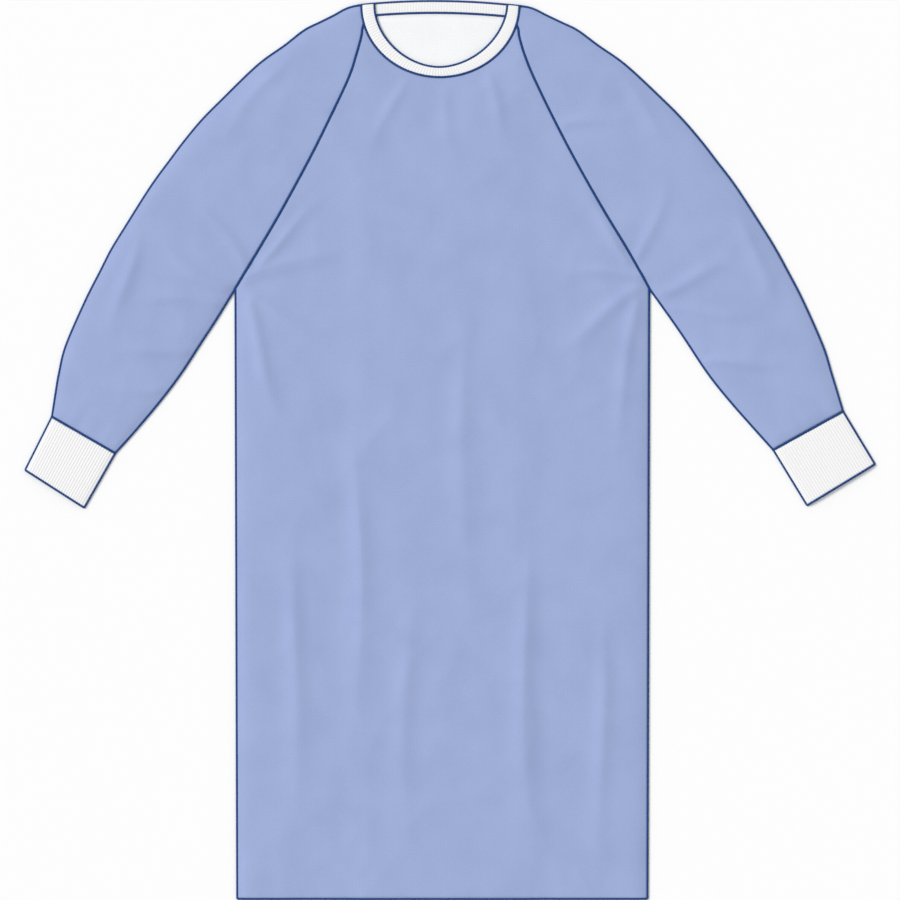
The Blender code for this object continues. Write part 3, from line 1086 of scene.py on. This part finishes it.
def link_piece(name: str, builder: bmesh.types.BMesh) -> bpy.types.Object:
    """Puts a finished bmesh into the scene, smoothly shaded.

    Args:
        name: The name of the piece.
        builder: Its shape, which is freed.

    Returns:
        The new object.
    """
    mesh = bpy.data.meshes.new(name)
    builder.to_mesh(mesh)
    builder.free()
    mesh.shade_smooth()
    piece = bpy.data.objects.new(name, mesh)
    bpy.context.scene.collection.objects.link(piece)
    return piece


def grid_piece(
    name: str,
    columns: int,
    rows: int,
    place: Surface,
    uv: Surface | None = None,
    closed: bool = False,
    capped: bool = False,
    flipped: bool = False,
) -> bpy.types.Object:
    """Makes a piece from a grid that a function lays out in space.

    Args:
        name: The piece's name.
        columns: How many faces the grid has along its first direction.
        rows: How many faces it has along its second direction.
        place: Turns shares of the two directions, from 0 to 1, into points.
        uv: Turns the same shares into texture coordinates.
        closed: Whether the second direction closes on itself.
        capped: Whether the open ends of a closed piece are filled.
        flipped: Whether the faces of an open piece are turned over, where its grid runs to the left.

    Returns:
        The new object, linked to the scene, with its faces pointing out or up.
    """
    builder = bmesh.new()
    bmesh.ops.create_grid(builder, x_segments=columns, y_segments=rows, size=0.5)
    shares = np.array([(vert.co.x + 0.5, vert.co.y + 0.5) for vert in builder.verts])
    if uv is not None:
        layer = builder.loops.layers.uv.new("UVMap")
        coordinates = uv(shares)
        builder.verts.index_update()
        for face in builder.faces:
            for loop in face.loops:
                loop[layer].uv = coordinates[loop.vert.index]
    for vert, point in zip(builder.verts, place(shares)):
        vert.co = point
    if closed:
        bmesh.ops.remove_doubles(builder, verts=builder.verts, dist=0.000001)
    if capped:
        bmesh.ops.holes_fill(builder, edges=[edge for edge in builder.edges if edge.is_boundary])
    if closed:
        bmesh.ops.recalc_face_normals(builder, faces=builder.faces)
    piece = link_piece(name, builder)
    if flipped:
        piece.data.flip_normals()
    return piece


def give_wall(piece: bpy.types.Object, back: int = 0) -> None:
    """Gives a sheet its thickness, behind its faces.

    Args:
        piece: The sheet.
        back: How many material slots later the wall's far side takes its finish.
    """
    wall = piece.modifiers.new("wall", "SOLIDIFY")
    wall.thickness = WALL
    wall.offset = -1.0
    wall.material_offset = back


def settle(piece: bpy.types.Object, slot: str, *nodes: str) -> None:
    """Fixes a finished piece to the gown's body and reports it.

    Args:
        piece: The piece.
        slot: Not used.
        nodes: The solids that it stands for.
    """
    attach(piece, "root")
    if nodes:
        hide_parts(*nodes)
    solid = piece.evaluated_get(bpy.context.evaluated_depsgraph_get()).to_mesh()
    solid.calc_loop_triangles()
    LOG.info("%s: %d triangles", piece.name, len(solid.loop_triangles))


@dataclass
class ClothSheet:
    """A sheet of nonwoven that runs straight from one edge of its pattern to another.

    near and far are those edges, measured from the hem, and rows is how many faces lie between them.
    """

    name: str
    node: str
    near: Array
    far: Array
    rows: int
    height: Surface
    face_up: bool
    flat: tuple[float, float]
    area: float
    rests_on: list[str]
    flipped: bool = False

    def build(self) -> bpy.types.Object:
        """Lays the sheet out, with no thickness yet."""
        return grid_piece(self.name, len(self.near) - 1, self.rows, self.place, flipped=self.flipped)

    def place(self, shares: Array) -> Array:
        """Points of the sheet, at shares of the way along its edges and across between them."""
        plan = ruled(self.near, self.far, *shares.T)
        return np.column_stack([plan, self.height(plan)])

    def dress(self, piece: bpy.types.Object, wardrobe: Wardrobe) -> None:
        """Args:
            piece: The sheet.
            wardrobe: The gown's materials.
        """
        sides = (wardrobe.face, wardrobe.inside)
        for material in sides if self.face_up else sides[::-1]:
            piece.data.materials.append(material)
        give_wall(piece, back=1)
        settle(piece, "gown_cloth", self.node)


def rib_wave(phase: Array, roundness: float = 0.8) -> Array:
    """Height of a rib about its middle, from -0.5 in the groove to 0.5 on the crest; phase counts ribs."""
    return np.abs(np.sin(math.pi * phase)) ** roundness - 0.5


@dataclass
class RibCuff:
    """A knitted cuff: a flattened tube whose ribs run from the sleeve to the hand."""

    side: Side
    relief: Relief
    rib_rise: float = 0.0006
    under_rib: float = 0.0001
    rows: int = 24
    draw_in: float = 0.0008
    draw_in_reach: float = 0.0028
    draw_in_rim: float = 0.004
    plain_rim: float = 0.002
    under_round: float = 0.0008

    def __post_init__(self) -> None:
        """Finds the cuff's two side lines, how far it is round, and how many ribs it has."""
        plan = PATTERN.cuff(self.side)
        self.outer = PATTERN.to_frame(np.array([plan.seam_outer, plan.end_outer]))
        self.inner = PATTERN.to_frame(np.array([plan.seam_inner, plan.end_inner]))
        seam = math.dist(plan.seam_outer, plan.seam_inner)
        self.girth = seam + math.dist(plan.end_outer, plan.end_inner)
        self.ribs = 2 * round(seam / RIB_PITCH)

    def build(self) -> bpy.types.Object:
        """Lays the tube out, with no thickness yet."""
        name, facets = f"cuff_{self.side.value}_knit", self.ribs * FACETS_PER_RIB
        return grid_piece(name, self.rows, facets, self.place, self.knit_uv, closed=True)

    def knit_uv(self, shares: Array) -> Array:
        """Texture coordinates: ribs round the cuff, and the share of its length."""
        return np.stack([shares[:, 1] * self.ribs, shares[:, 0]], axis=1)

    def place(self, shares: Array) -> Array:
        """Lays the grid out in space.

        Args:
            shares: Shares of the cuff's length and of the way round it, one row for each point.

        Returns:
            The points.
        """
        outer = along(self.outer, shares[:, 0])
        inner = along(self.inner, shares[:, 0])
        turn = 4 * shares[:, 1]
        across = 1 - np.abs(turn - 2)
        spots = (outer + inner) / 2 + (outer - inner) / 2 * across[:, None]
        half_width = np.linalg.norm(outer - inner, axis=1) / 2
        gap = (1 - np.abs(across)) * half_width
        from_seam = shares[:, 0] * length_of(self.outer)
        drawn_in = self.draw_in * bell(from_seam, self.draw_in_reach) * ease(gap / self.draw_in_rim)
        top = self.relief.cuff_face(across, half_width) - drawn_in
        bottom = self.relief.closed_level * np.exp(-gap / self.under_round)
        rib = rib_wave(shares[:, 1] * self.ribs) * ease(gap / self.plain_rim)
        height = np.where(turn < 2, top + self.rib_rise * rib, bottom + self.under_rib * (1 + rib))
        return np.column_stack([spots, np.maximum(height, 0.0)])

    def dress(self, piece: bpy.types.Object, wardrobe: Wardrobe) -> None:
        """Args:
            piece: The cuff.
            wardrobe: The gown's materials.
        """
        piece.data.materials.append(wardrobe.cuff_knit)
        give_wall(piece)
        settle(piece, "rib_knit", f"cuff_{self.side.value}")


@dataclass
class RibBand:
    """A stretch of the neckband: a folded strip of rib knit whose ribs run across it."""

    node: str
    seam: Array
    free: Array
    base: Surface
    thickness: float
    rib_rise: float = 0.0005
    end_fold: float = 0.0
    facets_round: int = 28
    edge_roundness: float = 0.6
    face_roundness: float = 0.5
    seam_press: float = 0.35
    seam_press_width: float = 0.16
    edge_press: float = 0.2
    edge_press_width: float = 0.12

    def __post_init__(self) -> None:
        """Measures the strip and counts its ribs."""
        self.length = (length_of(self.seam) + length_of(self.free)) / 2
        self.ribs = round(self.length / RIB_PITCH)

    def build(self) -> bpy.types.Object:
        """Lays the strip out.

        Returns:
            The strip, closed all round.
        """
        columns = self.ribs * FACETS_PER_RIB
        rows = self.facets_round
        name = f"{self.node}_knit"
        return grid_piece(name, columns, rows, self.place, self.knit_uv, closed=True, capped=True)

    def ring(self, share: Array) -> tuple[Array, Array]:
        """Finds where on the strip's cross-section the way round it passes.

        Args:
            share: Shares of the way round.

        Returns:
            How far across each is, from 0 at the seam to 1 at the free edge, and how far up, from -1 to 1.
        """
        turn = 2 * math.pi * share
        across = signed_power(np.cos(turn), self.edge_roundness)
        return 0.5 - across / 2, signed_power(np.sin(turn), self.face_roundness)

    def knit_uv(self, shares: Array) -> Array:
        """Texture coordinates: ribs along the band, and the share of the way across it."""
        return np.stack([shares[:, 0] * self.ribs, self.ring(shares[:, 1])[0]], axis=1)

    def place(self, shares: Array) -> Array:
        """Lays the grid out in space.

        Args:
            shares: Shares of the strip's length and of the way round it, one row for each point.

        Returns:
            The points.
        """
        across, up = self.ring(shares[:, 1])
        plan = ruled(self.seam, self.free, shares[:, 0], across)
        half = self.thickness / 2
        end_gap = np.minimum(shares[:, 0], 1 - shares[:, 0]) * length_of(self.seam)
        folded = np.sqrt(np.clip(end_gap / self.end_fold, 0, 1)) if self.end_fold else 1.0
        pressed = self.seam_press * bell(across, self.seam_press_width)
        pressed = pressed + self.edge_press * bell(1 - across, self.edge_press_width)
        swell = half * up * folded * np.where(up > 0, 1 - pressed, 1.0)
        rib = rib_wave(shares[:, 0] * self.ribs) * np.clip(up, 0, 1)
        return np.column_stack([plan, self.base(plan) + half + swell + self.rib_rise * rib])

    def dress(self, piece: bpy.types.Object, wardrobe: Wardrobe) -> None:
        """Finishes this stretch and fixes it to the gown.

        Args:
            piece: The strip.
            wardrobe: The gown's materials.
        """
        piece.data.materials.append(wardrobe.band_knit)
        settle(piece, "rib_knit", self.node)


@dataclass
class SeamThread:
    """The thread of one seam, laid turn by turn along its path.

    Real turns are about 0.4 mm apart, too fine to show, so they are drawn 1.3 mm apart with a coarser
    thread, and twice as far apart where the gown hides them.
    """

    path: SeamPath
    relief: Relief
    pitch: float = 0.0013
    hidden_pitch: float = 0.0026
    path_spacing: float = 0.003
    thread_radius: float = 0.00074
    half_width: float = 0.00120
    pressed: float = 0.62
    sides: int = 4
    round_steps: int = 8
    arch_steps: int = 5

    def build(self) -> bpy.types.Object:
        """Lays the thread along the seam.

        Returns:
            The thread.
        """
        plan = resample(self.path.line, self.path_spacing)
        line = np.column_stack([plan, self.relief.seam_level(self.path.layer, plan)])
        length = length_of(line)
        turns = round(length / (self.hidden_pitch if self.path.layer is Layer.LAP_EDGE else self.pitch))
        guide = self.guide_curve(line)
        piece = self.one_turn(length / turns)
        repeat = piece.modifiers.new("turns", "ARRAY")
        repeat.count = turns
        repeat.use_relative_offset = False
        repeat.use_constant_offset = True
        repeat.constant_offset_displace = (length / turns, 0, 0)
        repeat.use_merge_vertices = self.path.layer.stitch is Stitch.OVERCAST
        repeat.merge_threshold = 0.00001
        bend = piece.modifiers.new("along the seam", "CURVE")
        bend.object = guide
        bend.deform_axis = "POS_X"
        bpy.context.view_layer.update()
        builder = bmesh.new()
        builder.from_object(piece, bpy.context.evaluated_depsgraph_get())
        bmesh.ops.holes_fill(builder, edges=[edge for edge in builder.edges if edge.is_boundary])
        bmesh.ops.recalc_face_normals(builder, faces=builder.faces)
        piece.modifiers.clear()
        builder.to_mesh(piece.data)
        builder.free()
        bpy.data.objects.remove(guide, do_unlink=True)
        piece.data.shade_smooth()
        return piece

    def guide_curve(self, line: Array) -> bpy.types.Object:
        """Makes the curve that the turns follow, kept level across.

        Args:
            line: The points that it runs through.

        Returns:
            The curve's object.
        """
        data = bpy.data.curves.new(f"guide_{self.path.name}", "CURVE")
        data.dimensions = "3D"
        data.twist_mode = "Z_UP"
        spline = data.splines.new("POLY")
        spline.points.add(len(line) - 1)
        spline.points.foreach_set("co", np.column_stack([line, np.ones(len(line))]).ravel())
        guide = bpy.data.objects.new(data.name, data)
        bpy.context.scene.collection.objects.link(guide)
        return guide

    def one_turn(self, pitch: float) -> bpy.types.Object:
        """Makes one turn of thread: a full ring round an edge, or an arch over a flat seam.

        Args:
            pitch: How far along the seam the next turn starts.

        Returns:
            The turn, its thread's sides as wide as the pitch allows.
        """
        around = self.path.layer.stitch is Stitch.OVERCAST
        steps = self.round_steps if around else self.arch_steps
        builder = bmesh.new()
        bmesh.ops.create_circle(builder, segments=self.sides, radius=self.thread_radius)
        flat_side_out = Matrix.Rotation(math.pi / self.sides, 3, "Z")
        bmesh.ops.rotate(builder, verts=builder.verts, matrix=flat_side_out)
        bmesh.ops.translate(builder, verts=builder.verts, vec=(0, self.half_width, 0))
        bmesh.ops.spin(
            builder,
            geom=builder.verts[:] + builder.edges[:],
            cent=(0, 0, 0),
            axis=(1, 0, 0),
            dvec=(pitch * (1.0 if around else 0.5) / steps, 0, 0),
            angle=math.tau if around else math.pi,
            steps=steps,
            use_merge=False,
        )
        flattened = 1 - self.path.layer.rise / self.half_width
        for vert in builder.verts:
            spread = math.hypot(vert.co.y, vert.co.z)
            vert.co.z -= vert.co.z * min(1.0, self.half_width / spread) * flattened
            if self.path.layer is Layer.UNDERSIDE:
                vert.co.z *= self.pressed
        return link_piece(f"seam_{self.path.name}", builder)

    def dress(self, piece: bpy.types.Object, wardrobe: Wardrobe) -> None:
        """Gives the thread its finish and fixes it to the gown."""
        piece.data.materials.append(wardrobe.thread)
        settle(piece, "seam_thread")


@dataclass
class Gown:
    """The whole garment, planned from the pattern and built piece by piece.

    The front is drawn in rows about 5 mm apart, and the back, of which little shows, 12 mm apart.
    """

    wardrobe: Wardrobe
    front_row: float = 0.0048
    back_row: float = 0.012
    sleeve_front_rows: int = 48
    sleeve_back_rows: int = 24
    sleeve_flat: tuple[float, float] = (0.245, 0.80)
    sleeve_area: float = 0.104
    band_points: int = 120
    band_spacing: float = 0.002
    band_floor_gap: float = 0.0001

    def build(self) -> None:
        """Builds and dresses every piece, the body first and the sewing last."""
        seams = gown_seams()
        relief = Relief(seams)
        sleeves = [part for side in Side for part in self.sleeve(side, relief)]
        threads = [SeamThread(path, relief) for path in seams]
        for part in [*self.body(relief), *sleeves, *self.neckband(relief), *threads]:
            part.dress(part.build(), self.wardrobe)

    def body(self, relief: Relief) -> list[ClothSheet]:
        """Plans the two back panels and the front, whose columns of cloth hang from their top edges.

        Args:
            relief: The lie of the cloth.

        Returns:
            The panels, from the floor upwards.
        """
        outer, inner = (PATTERN.back_top(panel) for panel in Side)
        front = PATTERN.front_top()
        hem = (PATTERN.taper, 0.0)
        return [
            ClothSheet(
                name="back_outer_cloth",
                node="back_panel_outer",
                near=outer * hem,
                far=outer,
                rows=round(outer[:, 1].max() / self.back_row),
                height=relief.lower,
                face_up=False,
                flat=(0.394, 1.257),
                area=0.451,
                rests_on=["floor"],
            ),
            ClothSheet(
                name="back_inner_cloth",
                node="back_panel_inner",
                near=inner * hem,
                far=inner,
                rows=round(inner[:, 1].max() / self.back_row),
                height=relief.inner_back_top,
                face_up=False,
                flat=(0.398, 1.257),
                area=0.456,
                rests_on=["back_outer_cloth", "floor"],
            ),
            ClothSheet(
                name="front_cloth",
                node="front_panel",
                near=front * hem,
                far=front,
                rows=round(front[:, 1].max() / self.front_row),
                height=relief.upper_top,
                face_up=True,
                flat=(0.587, 1.242),
                area=0.637,
                rests_on=["back_outer_cloth", "back_inner_cloth"],
            ),
        ]

    def sleeve(self, side: Side, relief: Relief) -> list[ClothSheet | RibCuff]:
        """Plans one sleeve, whose halves run from its raglan and underarm seams to its top seam.

        Args:
            side: The side that it is on.
            relief: The lie of the cloth.

        Returns:
            Its back half, its front half and its cuff.
        """
        neck = PATTERN.sleeve_neck_edge(side)[:-1]
        near = np.vstack([neck, PATTERN.raglan_edge(side)[:-1], PATTERN.underarm_edge(side)])
        node = f"sleeve_{side.value}"
        halves = [
            ClothSheet(
                name=f"{node}_{half}_cloth",
                node=f"{node}_{half}",
                near=near,
                far=PATTERN.sleeve_top_edge(side),
                rows=rows,
                height=height,
                face_up=face_up,
                flat=self.sleeve_flat,
                area=self.sleeve_area,
                rests_on=[rest],
                flipped=side is Side.LEFT,
            )
            for half, rows, height, face_up, rest in (
                ("back", self.sleeve_back_rows, relief.lower, False, "floor"),
                ("front", self.sleeve_front_rows, relief.upper_top, True, f"{node}_back_cloth"),
            )
        ]
        return [*halves, RibCuff(side, relief)]

    def neckband(self, relief: Relief) -> list[RibBand]:
        """Plans the three stretches of the neckband.

        Args:
            relief: The lie of the cloth.

        Returns:
            The stretches, from the floor upwards.
        """
        turns = PATTERN.neck.turns(self.band_spacing)
        return [
            RibBand(
                "neckband_back_outer",
                *PATTERN.back_band(Side.LEFT, self.band_points),
                base=lambda plan: np.full(len(plan), self.band_floor_gap),
                thickness=relief.back_band_thickness,
                rib_rise=0.0002,
            ),
            RibBand(
                "neckband_back_inner",
                *PATTERN.back_band(Side.RIGHT, self.band_points),
                base=lambda plan: relief.inner_back_top(plan) - WALL,
                thickness=relief.back_band_thickness,
                rib_rise=0.0003,
            ),
            RibBand(
                "neckband_front",
                PATTERN.neck.points(turns),
                PATTERN.opening.points(turns),
                base=lambda plan: relief.upper_base(plan) - WALL,
                thickness=relief.band_thickness,
                end_fold=0.0030,
            ),
        ]


@dataclass(frozen=True)
class Studio:
    """A pale floor, a soft key light, an even sky and a camera straight above the gown."""

    picture_centre: tuple[float, float] = (0.0109, -0.0001)
    picture_width: float = 1.278
    camera_height: float = 6.0
    sensor_width: float = 36.0
    floor_size: float = 60.0
    floor_squares: int = 8
    key_strength: float = 1.95
    key_softness: float = math.radians(24)
    key_tilt: float = math.radians(-50)
    key_turn: float = math.radians(66)
    sky_strength: float = 0.65

    def build(self) -> None:
        """Sets up the floor, the lights, the camera and the view."""
        self.add_floor()
        self.add_lights()
        self.add_camera()
        bpy.context.scene.view_settings.view_transform = "Standard"
        bpy.context.scene.view_settings.look = "None"

    def add_floor(self) -> None:
        """Adds the floor, which is not part of the gown."""
        builder = bmesh.new()
        squares = self.floor_squares
        bmesh.ops.create_grid(builder, x_segments=squares, y_segments=squares, size=self.floor_size / 2)
        floor = link_piece("floor", builder)
        floor.data.materials.append(FloorFinish().material())

    def add_lights(self) -> None:
        """Adds the key light, as from a large soft box, and the sky."""
        data = bpy.data.lights.new("key", "SUN")
        data.energy = self.key_strength
        data.angle = self.key_softness
        key = bpy.data.objects.new("key", data)
        key.rotation_euler = (self.key_tilt, 0.0, self.key_turn)
        bpy.context.scene.collection.objects.link(key)
        world = bpy.data.worlds.new("studio")
        world.use_nodes = True
        background = world.node_tree.nodes["Background"]
        background.inputs["Color"].default_value = (1.0, 1.0, 1.0, 1.0)
        background.inputs["Strength"].default_value = self.sky_strength
        bpy.context.scene.world = world

    def add_camera(self) -> None:
        """Adds a long lens that looks straight down and frames the gown as the drawing does."""
        data = bpy.data.cameras.new("camera")
        data.sensor_width = self.sensor_width
        data.lens = self.sensor_width * self.camera_height / self.picture_width
        camera = bpy.data.objects.new("camera", data)
        camera.location = (*self.picture_centre, self.camera_height)
        bpy.context.scene.collection.objects.link(camera)
        bpy.context.scene.camera = camera


def main() -> None:
    """Builds the studio and the gown."""
    logging.basicConfig(level=logging.INFO)
    Studio().build()
    Gown(Wardrobe()).build()


if __name__ == "__main__":
    main()
